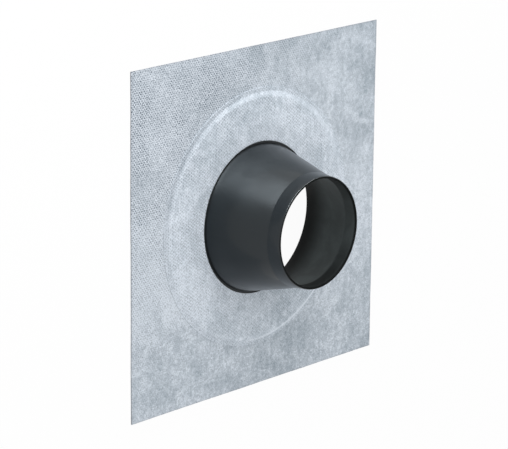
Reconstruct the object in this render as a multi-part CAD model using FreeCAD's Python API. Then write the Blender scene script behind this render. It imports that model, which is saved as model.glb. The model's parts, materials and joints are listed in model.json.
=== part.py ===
import FreeCAD, Part
import math
import os

# Square fleece sheet: it lies on z = 0, and the pipe runs along +Z through its middle
sheet_side = 300.0
sheet_thickness = 0.8
sheet_hole_clearance = 1.2

# Rubber collar: grip band round the pipe, coned sleeve and flange, moulded as one
bore_diameter = 93.0
grip_length = 13.4
lip_wall = 1.9
rim_round = 0.8
band_draft = 1.2
crease_round = 4.0
sleeve_height = 56.8
sleeve_angle = 14.85
sleeve_wall = 2.5
foot_round = 0.4
flange_flat_width = 17.3
flange_taper_width = 24.0
flange_thickness = 1.0
flange_edge_thickness = 0.35

# Cover ring: round fleece that lies on the flange, steps down to the sheet and is pressed thin there
cover_thickness = 0.6
cover_foot_gap = 1.8
cover_edge_clearance = 0.3
cover_slope_width = 3.0
cover_margin = 3.6
cover_margin_thickness = 0.45

# Heights and radii that follow from the sizes above
sheet_top = sheet_thickness
flange_top = sheet_top + flange_thickness
crease_height = flange_top + sleeve_height
lip_height = crease_height + grip_length
sleeve_taper = math.tan(math.radians(sleeve_angle))
bore_radius = bore_diameter / 2
lip_radius = bore_radius + lip_wall
crease_radius = lip_radius + band_draft
foot_radius = crease_radius + sleeve_height * sleeve_taper
taper_radius = foot_radius + flange_flat_width
flange_radius = taper_radius + flange_taper_width
flange_edge_top = sheet_top + flange_edge_thickness
wall_across = sleeve_wall / math.cos(math.radians(sleeve_angle))
mouth_radius = foot_radius + flange_thickness * sleeve_taper - wall_across
inner_crease_height = sheet_top + (mouth_radius - bore_radius) / sleeve_taper
sheet_hole_radius = mouth_radius + sheet_hole_clearance
cover_hole_radius = foot_radius + cover_foot_gap
rim_fillet = min(rim_round, 0.45 * lip_wall)


# Closed section in the XZ plane from corners of (radius, height, rounding)
def rounded_section(corners):
    points = [FreeCAD.Vector(radius, 0, height) for radius, height, rounding in corners]
    starts = []
    middles = []
    ends = []
    for index, (radius, height, rounding) in enumerate(corners):
        corner = points[index]
        before = (points[index - 1] - corner).normalize()
        after = (points[(index + 1) % len(points)] - corner).normalize()
        half_angle = before.getAngle(after) / 2
        tangent_length = rounding / math.tan(half_angle)
        inward = (before + after).normalize()
        starts.append(corner + before * tangent_length)
        middles.append(corner + inward * (rounding / math.sin(half_angle) - rounding))
        ends.append(corner + after * tangent_length)
    edges = []
    for index, (radius, height, rounding) in enumerate(corners):
        if rounding > 0:
            edges.append(Part.Arc(starts[index], middles[index], ends[index]).toShape())
        following = starts[(index + 1) % len(points)]
        edges.append(Part.LineSegment(ends[index], following).toShape())
    return Part.Face(Part.Wire(edges))


# Section turned once round the pipe's axis
def turned(corners):
    return rounded_section(corners).revolve(FreeCAD.Vector(0, 0, 0), FreeCAD.Vector(0, 0, 1), 360)


# Square sheet with the hole that the pipe passes through
def make_fleece_sheet():
    corner = FreeCAD.Vector(-sheet_side / 2, -sheet_side / 2, 0)
    square = Part.makeBox(sheet_side, sheet_side, sheet_thickness, corner)
    hole = Part.makeCylinder(sheet_hole_radius, sheet_thickness)
    return square.cut(hole)


# Flange that thins towards its edge, sleeve of even wall and grip band with a straight bore and a rounded rim
def make_rubber_collar():
    return turned([
        (flange_radius, sheet_top, 0),
        (flange_radius, flange_edge_top, 0),
        (taper_radius, flange_top, 0),
        (foot_radius, flange_top, foot_round),
        (crease_radius, crease_height, crease_round),
        (lip_radius, lip_height, rim_fillet),
        (bore_radius, lip_height, rim_fillet),
        (bore_radius, inner_crease_height, 0),
        (mouth_radius, sheet_top, 0),
    ])


# Close on the flange, down a short slope past its edge, and flat again on the sheet
def make_cover_ring():
    slope_angle = math.atan2(flange_edge_thickness, cover_slope_width)
    slope_start = flange_radius + cover_edge_clearance
    slope_end = slope_start + cover_slope_width
    upper_shift = cover_thickness * math.tan(slope_angle / 2)
    cover_radius = slope_end + upper_shift + cover_margin
    return turned([
        (cover_hole_radius, flange_top, 0),
        (taper_radius, flange_top, 0),
        (slope_start, flange_edge_top, 0),
        (slope_end, sheet_top, 0),
        (cover_radius, sheet_top, 0),
        (cover_radius, sheet_top + cover_margin_thickness, 0),
        (slope_end + upper_shift, sheet_top + cover_margin_thickness, 0),
        (slope_start + upper_shift, flange_edge_top + cover_thickness, 0),
        (taper_radius, flange_top + cover_thickness, 0),
        (cover_hole_radius, flange_top + cover_thickness, 0),
    ])


os.makedirs("parts", exist_ok=True)
make_fleece_sheet().exportStep("parts/fleece_sheet.step")
make_rubber_collar().exportStep("parts/rubber_collar.step")
make_cover_ring().exportStep("parts/cover_ring.step")
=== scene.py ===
import json
import math

import bpy
from mathutils import Matrix, Vector, noise


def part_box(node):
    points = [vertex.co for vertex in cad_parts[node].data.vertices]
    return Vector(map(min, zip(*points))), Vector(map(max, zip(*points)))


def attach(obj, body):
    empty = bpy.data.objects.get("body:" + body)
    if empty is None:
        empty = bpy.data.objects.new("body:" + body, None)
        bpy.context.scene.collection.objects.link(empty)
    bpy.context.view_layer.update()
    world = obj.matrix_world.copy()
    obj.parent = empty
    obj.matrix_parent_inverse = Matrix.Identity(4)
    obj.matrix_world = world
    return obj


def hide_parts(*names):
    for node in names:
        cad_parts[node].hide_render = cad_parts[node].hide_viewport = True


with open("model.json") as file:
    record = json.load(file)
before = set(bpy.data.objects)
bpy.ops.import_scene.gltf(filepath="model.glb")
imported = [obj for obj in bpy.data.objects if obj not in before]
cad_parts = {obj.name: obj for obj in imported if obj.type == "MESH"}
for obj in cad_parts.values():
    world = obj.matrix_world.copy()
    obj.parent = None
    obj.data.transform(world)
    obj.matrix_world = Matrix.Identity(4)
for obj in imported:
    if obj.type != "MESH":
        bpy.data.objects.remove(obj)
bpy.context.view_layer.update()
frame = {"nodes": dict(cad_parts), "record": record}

mm = 0.001  # sizes below are in millimetres, the scene is in metres
print("frame loaded:", ", ".join(sorted(frame["nodes"])))


# Node helpers: sockets take a value or another node's output
def addNode(tree, kind, sockets=None, **settings):
    made = tree.nodes.new(kind)
    for name, value in settings.items():
        setattr(made, name, value)
    for name, value in (sockets or {}).items():
        if isinstance(value, bpy.types.NodeSocket):
            tree.links.new(value, made.inputs[name])
        else:
            made.inputs[name].default_value = value
    return made


def calc(tree, operation, first, second=0.0):
    return addNode(tree, "ShaderNodeMath", {0: first, 1: second}, operation=operation).outputs[0]


def times(tree, first, *others):
    for other in others:
        first = calc(tree, "MULTIPLY", first, other)
    return first


def plus(tree, first, *others):
    for other in others:
        first = calc(tree, "ADD", first, other)
    return first


def awayFrom(tree, value, middle):
    return calc(tree, "ABSOLUTE", calc(tree, "SUBTRACT", value, middle))


def remap(tree, value, low, high, toLow=0.0, toHigh=1.0):
    sockets = {"Value": value, "From Min": low, "From Max": high, "To Min": toLow, "To Max": toHigh}
    return addNode(tree, "ShaderNodeMapRange", sockets, interpolation_type="SMOOTHSTEP").outputs["Result"]


def blendColor(tree, factor, first, second):
    made = addNode(tree, "ShaderNodeMix", data_type="RGBA")
    for socket, value in (("Factor_Float", factor), ("A_Color", first), ("B_Color", second)):
        target = next(s for s in made.inputs if s.identifier == socket)
        if isinstance(value, bpy.types.NodeSocket):
            tree.links.new(value, target)
        else:
            target.default_value = value
    return next(s for s in made.outputs if s.identifier == "Result_Color")


def vectorCalc(tree, operation, first, second):
    return addNode(tree, "ShaderNodeVectorMath", {0: first, 1: second}, operation=operation).outputs[0]


def scaled(tree, place, factor):
    return addNode(tree, "ShaderNodeVectorMath", {0: place, "Scale": factor}, operation="SCALE").outputs[0]


def distanceTowards(tree, place, direction):
    made = addNode(tree, "ShaderNodeVectorMath", {0: place, 1: direction}, operation="DOT_PRODUCT")
    return made.outputs["Value"]


def turned(tree, place, angle):
    sockets = {"Vector": place, "Angle": angle}
    return addNode(tree, "ShaderNodeVectorRotate", sockets, rotation_type="Z_AXIS").outputs[0]


def split(tree, vector):
    return addNode(tree, "ShaderNodeSeparateXYZ", {0: vector}).outputs


def millimetres(tree):
    return scaled(tree, addNode(tree, "ShaderNodeTexCoord").outputs["Object"], 1 / mm)


def noiseNode(tree, place, scale, detail=2.0, roughness=0.5, distortion=0.0):
    sockets = {"Vector": place, "Scale": scale, "Detail": detail}
    sockets.update({"Roughness": roughness, "Distortion": distortion})
    return addNode(tree, "ShaderNodeTexNoise", sockets)


def noiseAt(tree, place, *shape):
    return noiseNode(tree, place, *shape).outputs[0]


# A group takes the named inputs and gives a colour, a roughness and a height
def newGroup(name, inputs):
    tree = bpy.data.node_groups.new(name, "ShaderNodeTree")
    for socket, value in inputs.items():
        kind = "NodeSocketColor" if isinstance(value, tuple) else "NodeSocketFloat"
        tree.interface.new_socket(socket, in_out="INPUT", socket_type=kind).default_value = value
    tree.interface.new_socket("Color", in_out="OUTPUT", socket_type="NodeSocketColor")
    tree.interface.new_socket("Roughness", in_out="OUTPUT", socket_type="NodeSocketFloat")
    tree.interface.new_socket("Height", in_out="OUTPUT", socket_type="NodeSocketFloat")
    return tree, addNode(tree, "NodeGroupInput").outputs


# Principled material with a group's colour, roughness and relief
def makeMaterial(name, group, inputs, relief, finish):
    material = bpy.data.materials.new(name)
    material.use_nodes = True
    tree = material.node_tree
    tree.nodes.clear()
    skin = addNode(tree, "ShaderNodeGroup", inputs, node_tree=group).outputs
    strength, depth = relief
    bumpSockets = {"Height": skin["Height"], "Strength": strength, "Distance": depth * mm}
    bump = addNode(tree, "ShaderNodeBump", bumpSockets).outputs[0]
    surface = {"Base Color": skin["Color"], "Roughness": skin["Roughness"], "Normal": bump}
    shader = addNode(tree, "ShaderNodeBsdfPrincipled", {**surface, **finish})
    addNode(tree, "ShaderNodeOutputMaterial", {"Surface": shader.outputs[0]})
    return material


# Bonded fleece: clouds of fibre, wisps, stray fibres, fine grain and a lattice of pressed dots, with
# painted light towards the left and across the middle, painted shade on the cuts and beside the cover's
# edge, and painted highlights along that edge.
# A noise is scale per millimetre, detail, roughness, distortion; a range is from, from, to, to
fleece = {
    "inputs": {
        "Fibre Color": (0.662, 0.719, 0.784, 1),
        "Shade Color": (0.300, 0.353, 0.400, 1),
        # painted shade on the cut faces and along the sheet's edge
        "Cut Shade Color": (0.13, 0.13, 0.145, 1),
        "Dot Turn": 0.0,
        "Dot Depth": 0.78,
        "Dot Fade": -20.0,  # where the embossing begins to show
        "Strained Radius": 0.0,
        "Cloud Seed": 1000.0,
    },
    "dotPitch": (2.84, 3.70),  # millimetres across and along the roll, every other row is staggered
    "dotColor": (0.105, 0.135, 0.17, 1),
    "dotRange": (-1.2, 1.2, 0.34, 0.95),
    "raisedRange": (-0.5, -1.5),  # fibre stands up between the dots
    "strayNoise": (0.42,),
    "strayBy": 1.8,  # how far the dots stray from the lattice, millimetres from side to side
    "pressedNoise": (0.03, 3.0),
    "pressedRange": (0.36, 0.64, 0.6, 1.0),
    "pressedTowards": (-0.75, 0.65, 0.0),  # the side where the embossing is crispest
    "pressedFull": 150.0,
    "pressedShare": (0.12, 1.15),
    "unevenNoise": (0.8, 1.0),  # from dot to dot
    "unevenRange": (0.3, 0.7, 0.45, 1.25),
    "fleckNoise": (0.85, 2.0, 0.6),  # pale flecks of loose fibre
    "fleckRange": (0.52, 0.72, 0.0, 0.7),
    "wideNoise": (0.04, 6.0, 0.62, 0.6),
    "fineNoise": (0.28, 3.0),
    "wideShare": 0.65,
    "cloudRange": (0.36, 0.64, -0.05, 0.9),
    "broadNoise": (0.015, 1.0),
    "broadRange": (0.3, 0.7, -0.25, 0.45),
    # painted light: the fleece is lighter towards the left, as if lit from that side
    "paintedLightTowards": (-0.7, 0.05, 0.0),
    "paintedLightRange": (-140.0, 140.0, -0.32, 0.32),
    "streakStretch": (0.22, 0.05, 1.0),  # drawn out along the roll
    "streakNoise": (1.0, 3.0, 0.6, 0.8),
    "streakRange": (0.3, 0.7, -1.0, 1.0),
    "streakShare": (-120.0, 60.0, 0.3, 0.2),  # less of it where the embossing is crisp
    "wispNoise": (0.055, 4.0, 0.6, 1.4),  # pale wisps between the clouds
    "wispRange": (0.045, 0.0, -0.05, 0.4),
    "middle": -16.0,  # painted light: lighter along this line across the middle, darker towards the top and bottom edges
    "middleLightRange": (15.0, 115.0, 0.37, -0.16),
    "dullFrom": (-115.0, -140.0),  # one dull strip along the near edge
    "dullSide": (40.0, -10.0, 0.0, 0.36),
    "cloudSpan": (0.6, 0.2),  # brings the sum of the clouds between the two colours
    "grainNoise": (0.75, 2.0, 0.6),
    "smoothTowards": (0.7, 0.7, 0.0),  # the side where the grain is finest
    "smoothRange": (-60.0, 140.0, 1.35, 0.7),
    "cloudGrain": (0.3, 0.7, 0.7, 1.3),  # pale clouds are grainier
    "pitRange": (0.5, 0.25, 0.0, 0.32),
    "tuftRange": (0.5, 0.75, 0.0, 0.4),
    "fibreAngles": (0.3, 1.1, 1.9, 2.7),
    "fibreStretch": (0.95, 0.06, 1.0),
    "fibreNoise": (1.0,),
    "fibreRange": (0.03, 0.0),
    "fibreShare": 0.25,
    "strandColor": (0.80, 0.86, 0.935, 1),
    "strainHighlightRange": (3.0, 0.3),  # either side of where the cover is drawn over the flange's edge
    "strainHighlightDots": 0.85,  # the strain draws the dots out, which also paints a lighter highlight along the step
    "towardsRightRange": (-95.0, -15.0),  # from the left, where painted shade goes, to the right, where the strain and its painted highlight go
    # painted shade over the step on the right
    "stepShadeRange": (-40.0, 60.0, 0.0, 0.11),
    "leftShadeOut": 3.5,  # painted shade on the left, this far outside the step's line
    "leftShadeRange": (5.0, 1.0),
    "leftShadeShare": (-40.0, 20.0, 0.1, 0.21),
    "highlightTowards": (0.45, -0.89, 0.0),  # the side where a lighter highlight is painted along the cover's edge
    "highlightFrom": (85.0, 106.0),
    "highlightOut": 2.8,
    "highlightRange": (1.7, 0.2, 0.0, 0.6),
    "cutShadeRange": (0.6, 0.2, 0.0, 0.85),  # painted shade on the cut faces
    "edgeShadeRange": (148.4, 149.6, 0.0, 0.15),  # painted shade along the top of the sheet's edge
    "roughness": (0.92, 0.25),  # plain, and how much smoother a dot is
    "heights": {"fibres": 0.3, "cloud": 0.4, "grain": 0.6},
    "relief": (0.6, 0.15),  # strength, and depth in millimetres
    "finish": {"Specular IOR Level": 0.3},
}


# Three waves that cross in a staggered lattice of dots
def pressedDots(tree, given, plain, place, spread):
    lattice = split(tree, turned(tree, place, given["Dot Turn"]))
    across = calc(tree, "COSINE", times(tree, lattice["X"], math.tau / fleece["dotPitch"][0]))
    along = calc(tree, "COSINE", times(tree, lattice["Y"], math.tau / fleece["dotPitch"][1]))
    rows = calc(tree, "SUBTRACT", times(tree, along, along, 2.0), 1.0)
    bond = plus(tree, times(tree, across, along, 2.0), rows)
    pressed = remap(tree, noiseAt(tree, plain, *fleece["pressedNoise"]), *fleece["pressedRange"])
    crisp = remap(tree, spread, given["Dot Fade"], fleece["pressedFull"], *fleece["pressedShare"])
    pressed = times(tree, pressed, crisp)
    flecks = remap(tree, noiseAt(tree, plain, *fleece["fleckNoise"]), *fleece["fleckRange"])
    flecks = times(tree, flecks, pressed)
    uneven = remap(tree, noiseAt(tree, plain, *fleece["unevenNoise"]), *fleece["unevenRange"])
    pressed = times(tree, pressed, uneven)
    dots = times(tree, remap(tree, bond, *fleece["dotRange"]), pressed)
    raised = times(tree, remap(tree, bond, *fleece["raisedRange"]), pressed)
    return dots, raised, flecks


# Marks of the flange's edge on the cover ring: the strain that draws the dots out and paints a lighter
# highlight, painted shade over the step on the right and outside it on the left, and a painted highlight at
# the lower right
def ringMarks(tree, given, plain, side, ahead):
    level = vectorCalc(tree, "MULTIPLY", plain, (1, 1, 0))
    radius = addNode(tree, "ShaderNodeVectorMath", {0: level}, operation="LENGTH").outputs["Value"]
    outside = calc(tree, "SUBTRACT", radius, given["Strained Radius"])
    towardsRight = remap(tree, side, *fleece["towardsRightRange"])
    # the strain draws the dots out on the right, and this paints a lighter highlight along the step
    strainAndHighlight = remap(tree, calc(tree, "ABSOLUTE", outside), *fleece["strainHighlightRange"])
    strainAndHighlight = times(tree, strainAndHighlight, towardsRight)
    # painted shade over the step on the right
    stepShade = times(tree, strainAndHighlight, remap(tree, side, *fleece["stepShadeRange"]))
    # painted shade just outside the step on the left
    leftShade = remap(tree, awayFrom(tree, outside, fleece["leftShadeOut"]), *fleece["leftShadeRange"])
    leftShade = times(tree, leftShade, calc(tree, "SUBTRACT", 1.0, towardsRight))
    leftShade = times(tree, leftShade, remap(tree, ahead, *fleece["leftShadeShare"]))
    # painted highlight along the cover's edge at the lower right
    paintedHighlight = remap(tree, awayFrom(tree, outside, fleece["highlightOut"]), *fleece["highlightRange"])
    aside = distanceTowards(tree, plain, fleece["highlightTowards"])
    paintedHighlight = times(tree, paintedHighlight, remap(tree, aside, *fleece["highlightFrom"]))
    return strainAndHighlight, stepShade, leftShade, paintedHighlight


def fibreClouds(tree, given, plain, place, side, ahead, spread):
    wide = times(tree, noiseAt(tree, place, *fleece["wideNoise"]), fleece["wideShare"])
    fine = times(tree, noiseAt(tree, place, *fleece["fineNoise"]), 1 - fleece["wideShare"])
    cloud = remap(tree, plus(tree, wide, fine), *fleece["cloudRange"])
    broad = noiseNode(tree, plain, *fleece["broadNoise"])
    broad.noise_dimensions = "4D"
    tree.links.new(given["Cloud Seed"], broad.inputs["W"])
    broad = remap(tree, broad.outputs[0], *fleece["broadRange"])
    # painted light: lighter towards the left
    sideLight = remap(tree, distanceTowards(tree, plain, fleece["paintedLightTowards"]), *fleece["paintedLightRange"])
    drawnOut = vectorCalc(tree, "MULTIPLY", place, fleece["streakStretch"])
    streak = remap(tree, noiseAt(tree, drawnOut, *fleece["streakNoise"]), *fleece["streakRange"])
    streak = times(tree, streak, remap(tree, spread, *fleece["streakShare"]))
    wisp = awayFrom(tree, noiseAt(tree, place, *fleece["wispNoise"]), 0.5)
    wisp = remap(tree, wisp, *fleece["wispRange"])
    # painted light: lighter across the middle, darker towards the top and bottom edges
    middle = remap(tree, awayFrom(tree, ahead, fleece["middle"]), *fleece["middleLightRange"])
    dull = times(tree, remap(tree, ahead, *fleece["dullFrom"]), remap(tree, side, *fleece["dullSide"]))
    cloud = calc(tree, "SUBTRACT", plus(tree, cloud, broad, sideLight, streak, wisp, middle), dull)
    share, base = fleece["cloudSpan"]
    return plus(tree, times(tree, cloud, share), base)


def strayFibres(tree, place):
    fibres = 0.0
    for angle in fleece["fibreAngles"]:
        drawn = vectorCalc(tree, "MULTIPLY", turned(tree, place, angle), fleece["fibreStretch"])
        ridge = awayFrom(tree, noiseAt(tree, drawn, *fleece["fibreNoise"]), 0.5)
        fibres = calc(tree, "MAXIMUM", fibres, remap(tree, ridge, *fleece["fibreRange"]))
    return fibres


def makeFleeceGroup():
    tree, given = newGroup("bondedFleece", fleece["inputs"])
    plain = millimetres(tree)
    stray = noiseNode(tree, plain, *fleece["strayNoise"]).outputs["Color"]
    stray = scaled(tree, vectorCalc(tree, "SUBTRACT", stray, (0.5, 0.5, 0.5)), fleece["strayBy"])
    place = vectorCalc(tree, "ADD", plain, stray)
    side, ahead = split(tree, plain)[:2]
    spread = distanceTowards(tree, plain, fleece["pressedTowards"])

    dots, raised, flecks = pressedDots(tree, given, plain, place, spread)
    strainAndHighlight, stepShade, leftShade, paintedHighlight = ringMarks(tree, given, plain, side, ahead)
    drawnDots = calc(tree, "SUBTRACT", 1.0, times(tree, strainAndHighlight, fleece["strainHighlightDots"]))
    dots = times(tree, dots, drawnDots)
    cloud = fibreClouds(tree, given, plain, place, side, ahead, spread)
    fibres = strayFibres(tree, place)

    grain = noiseAt(tree, plain, *fleece["grainNoise"])
    coarse = remap(tree, distanceTowards(tree, plain, fleece["smoothTowards"]), *fleece["smoothRange"])
    coarse = times(tree, coarse, remap(tree, cloud, *fleece["cloudGrain"]))
    pits = times(tree, coarse, remap(tree, grain, *fleece["pitRange"]))
    tufts = times(tree, coarse, remap(tree, grain, *fleece["tuftRange"]))

    # painted shade on the cut faces and along the top of the sheet's edge
    facing = split(tree, addNode(tree, "ShaderNodeNewGeometry").outputs["True Normal"])["Z"]
    cutShade = remap(tree, calc(tree, "ABSOLUTE", facing), *fleece["cutShadeRange"])
    outermost = calc(tree, "MAXIMUM", calc(tree, "ABSOLUTE", side), calc(tree, "ABSOLUTE", ahead))
    cutShade = calc(tree, "MAXIMUM", cutShade, remap(tree, outermost, *fleece["edgeShadeRange"]))

    color = blendColor(tree, cloud, given["Shade Color"], given["Fibre Color"])
    depth = given["Dot Depth"]
    for mask, blended in (
        (times(tree, fibres, fleece["fibreShare"]), fleece["strandColor"]),
        (pits, fleece["dotColor"]),
        (tufts, fleece["strandColor"]),
        (times(tree, dots, depth), fleece["dotColor"]),
        (times(tree, raised, depth), fleece["strandColor"]),
        (times(tree, flecks, depth), fleece["strandColor"]),
        (leftShade, fleece["dotColor"]),
        (stepShade, fleece["dotColor"]),
        (paintedHighlight, fleece["strandColor"]),
        (cutShade, given["Cut Shade Color"]),
    ):
        color = blendColor(tree, mask, color, blended)
    plainRough, dotSmooth = fleece["roughness"]
    rough = calc(tree, "SUBTRACT", plainRough, times(tree, dots, dotSmooth))
    height = calc(tree, "SUBTRACT", times(tree, fibres, fleece["heights"]["fibres"]), dots)
    height = plus(tree, height, times(tree, cloud, fleece["heights"]["cloud"]))
    height = plus(tree, height, times(tree, grain, fleece["heights"]["grain"]))
    addNode(tree, "NodeGroupOutput", {"Color": color, "Roughness": rough, "Height": height})
    return tree


fleeceGroup = makeFleeceGroup()


def makeFleece(name, inputs):
    return makeMaterial(name, fleeceGroup, inputs, fleece["relief"], fleece["finish"])


sheetFleece = makeFleece("sheetFleece", {})
coverFleece = makeFleece("coverFleece", {
    "Dot Turn": math.pi / 2,  # cut from the roll the other way round
    "Dot Depth": 0.5,
    "Dot Fade": -400.0,
    "Strained Radius": 106.6,
    "Cloud Seed": 1300.0,
    "Fibre Color": (0.783, 0.848, 0.928, 1),
    "Shade Color": (0.367, 0.432, 0.487, 1),
    "Cut Shade Color": (0.30, 0.33, 0.36, 1),  # painted shade along the cover's cut edge
})

# Moulded rubber: satin outside, dusted and matt inside, with painted shade where the dust is held back at
# the sleeve's foot, deep in the bore and on the grip band's inside; heights are in millimetres
rubber = {
    "outside": {
        "Color": (0.0006, 0.0008, 0.0010, 1),
        "Bloom Color": (0.0014, 0.0024, 0.0030, 1),
        "Smooth Roughness": 0.28,
        "Bloom Roughness": 0.34,
        # painted shade: no dust below the first height, so the sleeve's foot is darker
        "Shade Fades From": 2.0,
        "Shade Gone At": 5.0,
        "Band Shade Start": 90.0,  # past the rim, so the outside gets no painted shade on the band
        "Band Shade Full": 95.0,
    },
    "outsideFinish": {
        "Specular IOR Level": 0.42,
        "Specular Tint": (0.80, 0.92, 1.0, 1),
        "Coat Weight": 0.24,  # moulding skin, glossier than the rubber under it
        "Coat Roughness": 0.08,
    },
    "inside": {
        "Color": (0.006, 0.007, 0.007, 1),
        "Bloom Color": (0.124, 0.145, 0.148, 1),
        "Smooth Roughness": 0.50,
        "Bloom Roughness": 0.60,
        # painted shade: darker deeper down the bore
        "Shade Fades From": 8.0,
        "Shade Gone At": 40.0,
        "Band Shade Start": 58.0,
        "Band Shade Full": 62.0,
    },
    "insideFinish": {
        "Specular IOR Level": 0.05,
        "Specular Tint": (0.9, 1.0, 1.0, 1),
    },
    "bandShadeRange": (12.0, 44.0, 0.68, 0.2),  # painted shade on the inside of the grip band: less dust there, least above and below the pipe
    "rimRange": (69.5, 71.5, 1.0, 0.0),  # the rim itself stays bare and black
    "bloomNoise": (0.035, 4.0, 0.55, 0.4),
    "bloomRange": (0.3, 0.7, 0.6, 1.0),
    "roughRange": (0.3, 0.7),
    "grainNoise": (1.6, 3.0),
    "relief": (0.25, 0.02),
}


def makeRubberGroup():
    tree, given = newGroup("rubberSkin", rubber["outside"])
    place = millimetres(tree)
    ahead, height = split(tree, place)[1:]
    cloud = noiseAt(tree, place, *rubber["bloomNoise"])
    # painted shade on the grip band's inside, strongest above and below the pipe
    bandUnshaded = remap(tree, calc(tree, "ABSOLUTE", ahead), *rubber["bandShadeRange"])
    # the dust is held back as painted shade near the foot, deep in the bore and on the grip band's inside
    bloomAndShade = times(
        tree,
        remap(tree, cloud, *rubber["bloomRange"]),
        remap(tree, height, given["Shade Fades From"], given["Shade Gone At"]),
        remap(tree, height, given["Band Shade Start"], given["Band Shade Full"], 1.0, bandUnshaded),
        remap(tree, height, *rubber["rimRange"]),
    )
    color = blendColor(tree, bloomAndShade, given["Color"], given["Bloom Color"])
    roughness = (given["Smooth Roughness"], given["Bloom Roughness"])
    rough = remap(tree, cloud, *rubber["roughRange"], *roughness)
    grain = noiseAt(tree, place, *rubber["grainNoise"])
    addNode(tree, "NodeGroupOutput", {"Color": color, "Roughness": rough, "Height": grain})
    return tree


rubberGroup = makeRubberGroup()


def makeRubber(name, inputs, finish):
    return makeMaterial(name, rubberGroup, inputs, rubber["relief"], finish)


outsideRubber = makeRubber("outsideRubber", rubber["outside"], rubber["outsideFinish"])
insideRubber = makeRubber("insideRubber", rubber["inside"], rubber["insideFinish"])
print("materials made")


# A path of (radius, height, rounding) corners as points, with arcs at the rounded ones
def roundedPath(corners, longest, arcSteps):
    places = [Vector((radius, height)) for radius, height, rounding in corners]
    points = []
    for index, (radius, height, rounding) in enumerate(corners):
        corner = places[index]
        before = (places[index - 1] - corner).normalized()
        after = (places[(index + 1) % len(places)] - corner).normalized()
        if rounding == 0:
            points.append(corner)
            continue
        half = before.angle(after) / 2
        reach = rounding / math.tan(half)
        centre = corner + (before + after).normalized() * (rounding / math.sin(half))
        start = corner + before * reach - centre
        turn = start.angle_signed(corner + after * reach - centre)
        for step in range(arcSteps + 1):
            points.append(centre + Matrix.Rotation(-turn * step / arcSteps, 2) @ start)
    fine = []
    for index, point in enumerate(points):  # long straights get points of their own
        following = points[(index + 1) % len(points)]
        pieces = max(1, math.ceil((following - point).length / longest))
        fine += [point.lerp(following, step / pieces) for step in range(pieces)]
    return fine


sharpFrom = math.radians(40)  # sharper edges than this are not smoothed over


# Skin over closed loops of points, joined all the way round both ways
def makePiece(name, loops, material):
    around = len(loops[0])
    vertices = [point for loop in loops for point in loop]
    faces = []
    for row in range(len(loops)):
        here = row * around
        there = (row + 1) % len(loops) * around
        for step in range(around):
            nextStep = (step + 1) % around
            faces.append((here + step, here + nextStep, there + nextStep, there + step))
    mesh = bpy.data.meshes.new(name)
    mesh.from_pydata(vertices, [], faces)
    mesh.shade_smooth()
    mesh.set_sharp_from_angle(angle=sharpFrom)
    mesh.materials.append(material)
    piece = bpy.data.objects.new(name, mesh)
    bpy.context.scene.collection.objects.link(piece)
    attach(piece, "root")
    print(name, "has", len(faces), "faces")
    return piece


def waver(x, y, size, seed):
    return noise.noise(Vector((x / size, y / size, seed)))


bore = next(m for m in frame["record"]["mounts"] if m["name"] == "pipe_bore")
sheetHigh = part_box("fleece_sheet")[1]
collarLow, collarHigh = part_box("rubber_collar")
coverLow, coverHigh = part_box("cover_ring")

# Rubber collar: flange, coned sleeve, grip band and rounded rim, turned round the pipe's axis
collar = {
    "steps": 288,  # points round the pipe
    "longest": 4.0,  # longest straight between points of the section
    "arcSteps": 8,
    "lipWall": 1.9,
    "bandDraft": 1.2,
    "gripLength": 13.4,
    "sleeveAngle": 14.85,
    "sleeveWall": 2.5,
    "flangeThickness": 1.0,
    "flangeRound": 0.1,
    "rimRound": 0.85,
    "creaseRound": 4.0,
    "footRound": 0.4,
    "mouthRound": 0.3,
    "edgeTaper": 0.65,  # the flange thins out towards its edge, under the cover ring
    "taperWidth": 24.0,
    "rimFacing": 0.75,  # the rim is dusted where it faces up more than this
    "rimDepth": 1.5,
}


def makeCollar():
    bottom = collarLow.z / mm
    top = collarHigh.z / mm
    flangeTop = bottom + collar["flangeThickness"]
    boreRadius = bore["dims"]["r_mm"]
    lipRadius = boreRadius + collar["lipWall"]
    creaseRadius = lipRadius + collar["bandDraft"]
    creaseHeight = top - collar["gripLength"]
    taper = math.tan(math.radians(collar["sleeveAngle"]))
    footRadius = creaseRadius + (creaseHeight - flangeTop) * taper
    wallAcross = collar["sleeveWall"] / math.cos(math.radians(collar["sleeveAngle"]))
    mouthRadius = footRadius + collar["flangeThickness"] * taper - wallAcross
    innerCrease = bottom + (mouthRadius - boreRadius) / taper
    flangeRadius = collarHigh.x / mm
    path = roundedPath([
        (flangeRadius, bottom, collar["flangeRound"]),
        (flangeRadius, flangeTop - collar["edgeTaper"], collar["flangeRound"]),
        (flangeRadius - collar["taperWidth"], flangeTop, 0),
        (footRadius, flangeTop, collar["footRound"]),
        (creaseRadius, creaseHeight, collar["creaseRound"]),
        (lipRadius, top, collar["rimRound"]),
        (boreRadius, top, collar["rimRound"]),
        (boreRadius, innerCrease, collar["creaseRound"]),
        (mouthRadius, bottom, collar["mouthRound"]),
    ], collar["longest"], collar["arcSteps"])
    angles = [math.tau * step / collar["steps"] for step in range(collar["steps"])]
    loops = [[Vector((r * math.cos(a), r * math.sin(a), z)) * mm for a in angles] for r, z in path]
    piece = makePiece("rubberCollar", loops, outsideRubber)
    piece.data.materials.append(insideRubber)
    rimHeight = (top - collar["rimDepth"]) * mm
    for face in piece.data.polygons:
        inward = face.normal.x * face.center.x + face.normal.y * face.center.y < 0
        onRim = face.normal.z > collar["rimFacing"] and face.center.z > rimHeight
        face.material_index = 1 if inward or onRim else 0
    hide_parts("rubber_collar")
    return footRadius


footRadius = makeCollar()

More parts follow.
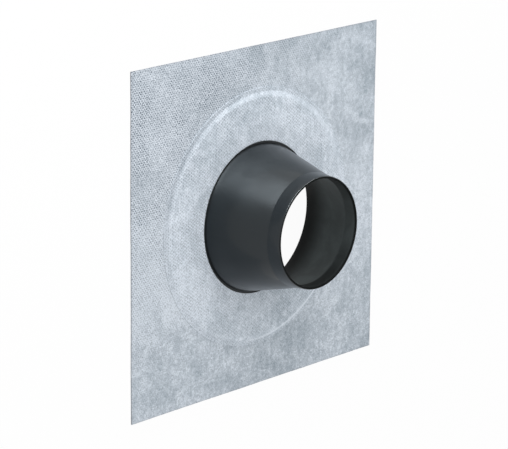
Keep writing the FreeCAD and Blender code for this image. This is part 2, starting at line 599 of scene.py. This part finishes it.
# Cover ring: fleece that lies on the flange and steps down to the sheet
cover = {
    "steps": 480,
    "longest": 1.6,
    "arcSteps": 6,
    "thickness": 0.6,
    "footGap": 1.8,
    "edgeClearance": 0.3,
    "slopeWidth": 3.0,
    "taperBend": 20.0,  # how softly the fleece follows the flange's thinning
    "bend": 3.0,  # and how softly it turns over the flange's edge
    "holeRound": 0.15,
    "fallsFrom": 2.2,  # the upper side begins to fall this far inside the slope
    "footTo": 0.32,  # thickness left at the foot of the slope
    "edgeTo": 0.3,  # and at the outer cut
    "ragged": 0.12,  # unevenness of the cut edges
    "raggedSize": 1.6,
    "raggedReach": 1.5,
    "cockle": 0.05,
    "cockleSize": 14.0,
    "cockleSeed": 3.7,
    "cockleFrom": 0.24,  # nothing lower than this above the sheet is cockled
}


def makeCover():
    sheetTop = coverLow.z / mm
    plateau = coverHigh.z / mm
    thickness = cover["thickness"]
    edgeHeight = plateau - collar["edgeTaper"]
    drop = edgeHeight - thickness - sheetTop
    holeRadius = footRadius + cover["footGap"]
    slopeStart = collarHigh.x / mm + cover["edgeClearance"]
    slopeEnd = slopeStart + cover["slopeWidth"]
    taperStart = slopeStart - collar["taperWidth"]
    outerRadius = coverHigh.x / mm
    shift = thickness * math.tan(math.atan2(drop, cover["slopeWidth"]) / 2)
    path = roundedPath([
        (holeRadius, plateau - thickness, 0),
        (taperStart, plateau - thickness, 0),
        (slopeStart, edgeHeight - thickness, 0),
        (slopeEnd, sheetTop, 0),
        (outerRadius, sheetTop, 0),
        (outerRadius, sheetTop + cover["edgeTo"], 0),
        (slopeEnd + shift, sheetTop + cover["footTo"], cover["bend"]),
        (slopeStart + shift - cover["fallsFrom"], edgeHeight, cover["bend"]),
        (taperStart, plateau, cover["taperBend"]),
        (holeRadius, plateau, cover["holeRound"]),
    ], cover["longest"], cover["arcSteps"])
    loops = []
    for radius, height in path:
        toEdge = min(abs(radius - holeRadius), abs(radius - outerRadius))
        edge = max(0.0, 1 - toEdge / cover["raggedReach"])
        loop = []
        for step in range(cover["steps"]):
            angle = math.tau * step / cover["steps"]
            x = radius * math.cos(angle)
            y = radius * math.sin(angle)
            lift = 0.0
            if height > sheetTop + cover["cockleFrom"]:
                lift = max(0.0, cover["cockle"] * waver(x, y, cover["cockleSize"], cover["cockleSeed"]))
            stray = cover["ragged"] * edge * waver(x, y, cover["raggedSize"], height)
            x += stray * math.cos(angle)
            y += stray * math.sin(angle)
            loop.append(Vector((x, y, height + lift)) * mm)
        loops.append(loop)
    piece = makePiece("coverRing", loops, coverFleece)
    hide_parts("cover_ring")


# Fleece sheet: square outside, round inside, faintly cockled beyond the cover ring
sheet = {
    "steps": 400,  # points round the sheet, a multiple of eight so that the corners are sharp
    "rows": 60,
    "ragged": 0.15,
    "raggedSize": 1.9,
    "raggedShift": 5.5,  # keeps the two directions of the raggedness apart
    "cockle": 0.35,
    "cockleSize": 42.0,
    "cockleSeed": 8.1,
    "cockleBase": 0.35,
    "flatTo": 118.0,  # nothing is cockled inside this radius
    "looseOver": 25.0,
}


def makeSheet():
    half = sheetHigh.x / mm
    thickness = sheetHigh.z / mm
    cadNode = frame["nodes"]["fleece_sheet"].data
    holeRadius = min(math.hypot(v.co.x, v.co.y) for v in cadNode.vertices) / mm
    share = [row / sheet["rows"] for row in range(sheet["rows"] + 1)]
    layers = [(s, 0.0) for s in share] + [(s, thickness) for s in reversed(share)]
    loops = []
    for part, height in layers:
        loop = []
        for step in range(sheet["steps"]):
            angle = math.tau * step / sheet["steps"]
            outward = Vector((math.cos(angle), math.sin(angle)))
            rim = half / max(abs(outward.x), abs(outward.y))
            x, y = outward * (holeRadius + (rim - holeRadius) * part)
            loose = min(1.0, max(0.0, (math.hypot(x, y) - sheet["flatTo"]) / sheet["looseOver"]))
            cockled = sheet["cockleBase"] + waver(x, y, sheet["cockleSize"], sheet["cockleSeed"])
            lift = sheet["cockle"] * loose * max(0.0, cockled)
            if part == 1.0:
                x += sheet["ragged"] * waver(x, y, sheet["raggedSize"], height)
                y += sheet["ragged"] * waver(x, y, sheet["raggedSize"], height + sheet["raggedShift"])
            loop.append(Vector((x, y, height + lift)) * mm)
        loops.append(loop)
    piece = makePiece("fleeceSheet", loops, sheetFleece)
    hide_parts("fleece_sheet")


makeSheet()
makeCover()
print("pieces made")

# Floor: white to the camera, and it keeps a little of the shadow
floor = {
    "size": 14.0,  # metres
    "below": 0.1,  # millimetres under the sheet
    "color": (0.86, 0.86, 0.86, 1),
    "shadowShare": 0.05,  # how much of the floor's own shading still shows
}


def seenDirectly(tree):
    rays = addNode(tree, "ShaderNodeLightPath").outputs
    glossy = calc(tree, "MAXIMUM", rays["Is Glossy Ray"], rays["Is Transmission Ray"])
    return calc(tree, "MAXIMUM", rays["Is Camera Ray"], glossy)


def makeFloor():
    half = floor["size"] / 2
    mesh = bpy.data.meshes.new("floor")
    corners = [(-half, -half, 0), (half, -half, 0), (half, half, 0), (-half, half, 0)]
    mesh.from_pydata(corners, [], [(0, 1, 2, 3)])
    material = bpy.data.materials.new("paleFloor")
    material.use_nodes = True
    tree = material.node_tree
    tree.nodes.clear()
    matte = addNode(tree, "ShaderNodeBsdfDiffuse", {"Color": floor["color"]}).outputs[0]
    white = addNode(tree, "ShaderNodeEmission", {"Color": (1, 1, 1, 1), "Strength": 1.0}).outputs[0]
    share = times(tree, seenDirectly(tree), 1 - floor["shadowShare"])
    mixed = addNode(tree, "ShaderNodeMixShader", {0: share, 1: matte, 2: white}).outputs[0]
    addNode(tree, "ShaderNodeOutputMaterial", {"Surface": mixed})
    mesh.materials.append(material)
    made = bpy.data.objects.new("floor", mesh)
    made.location.z = -floor["below"] * mm
    bpy.context.scene.collection.objects.link(made)


makeFloor()

# Light: an even room, a long low panel past the picture's top left, two small low ones, a soft box overhead
light = {
    "room": 0.62,
    "boxes": (  # name, bearing and height in degrees, distance, width and height in metres, watts
        ("topPanel", 109, 3.2, 1.1, 1.0, 0.11, 20.6),
        ("rightPanel", 68, 4, 1.2, 0.5, 0.13, 6.0),
        ("lowPanel", 305, 6, 1.6, 0.8, 0.26, 5.0),
        ("overhead", 128, 64, 1.0, 1.2, 1.2, 4.4),
    ),
}


def makeLight():
    world = bpy.data.worlds.new("room")
    world.use_nodes = True
    tree = world.node_tree
    tree.nodes.clear()
    even = {"Color": (1, 1, 1, 1), "Strength": light["room"]}
    room = addNode(tree, "ShaderNodeBackground", even).outputs[0]
    addNode(tree, "ShaderNodeOutputWorld", {"Surface": room})
    bpy.context.scene.world = world
    for name, bearing, height, distance, width, tall, watts in light["boxes"]:
        lamp = bpy.data.lights.new(name, "AREA")
        lamp.shape = "RECTANGLE"
        lamp.size = width
        lamp.size_y = tall
        lamp.energy = watts
        box = bpy.data.objects.new(name, lamp)
        turn = math.radians(bearing)
        rise = math.radians(height)
        level = math.cos(rise)
        towards = Vector((level * math.cos(turn), level * math.sin(turn), math.sin(rise)))
        box.location = towards * distance
        box.visible_camera = False
        box.rotation_euler = (-box.location).to_track_quat("-Z", "Y").to_euler()
        bpy.context.scene.collection.objects.link(box)


makeLight()
print("floor and light made")

# Camera: up and to the left of the sheet, rolled so that the sheet stands upright in the picture
view = {
    "place": (-1.67862, 0.64424, 1.57393),
    "aim": (-0.00307, -0.00636, 0.0),
    "pictureUp": (0.19109, 0.96215, -0.19429),
    "lens": 198.4,
    "sensor": 36.0,
    "farthest": 50.0,
}


def makeCamera():
    lens = bpy.data.cameras.new("camera")
    lens.lens = view["lens"]
    lens.sensor_width = view["sensor"]
    lens.clip_end = view["farthest"]
    camera = bpy.data.objects.new("camera", lens)
    back = (Vector(view["place"]) - Vector(view["aim"])).normalized()
    right = Vector(view["pictureUp"]).cross(back).normalized()
    up = back.cross(right)
    facing = Matrix((right, up, back)).transposed().to_4x4()
    camera.matrix_world = Matrix.Translation(view["place"]) @ facing
    bpy.context.scene.collection.objects.link(camera)
    bpy.context.scene.camera = camera


makeCamera()
bpy.context.scene.view_settings.view_transform = "Standard"
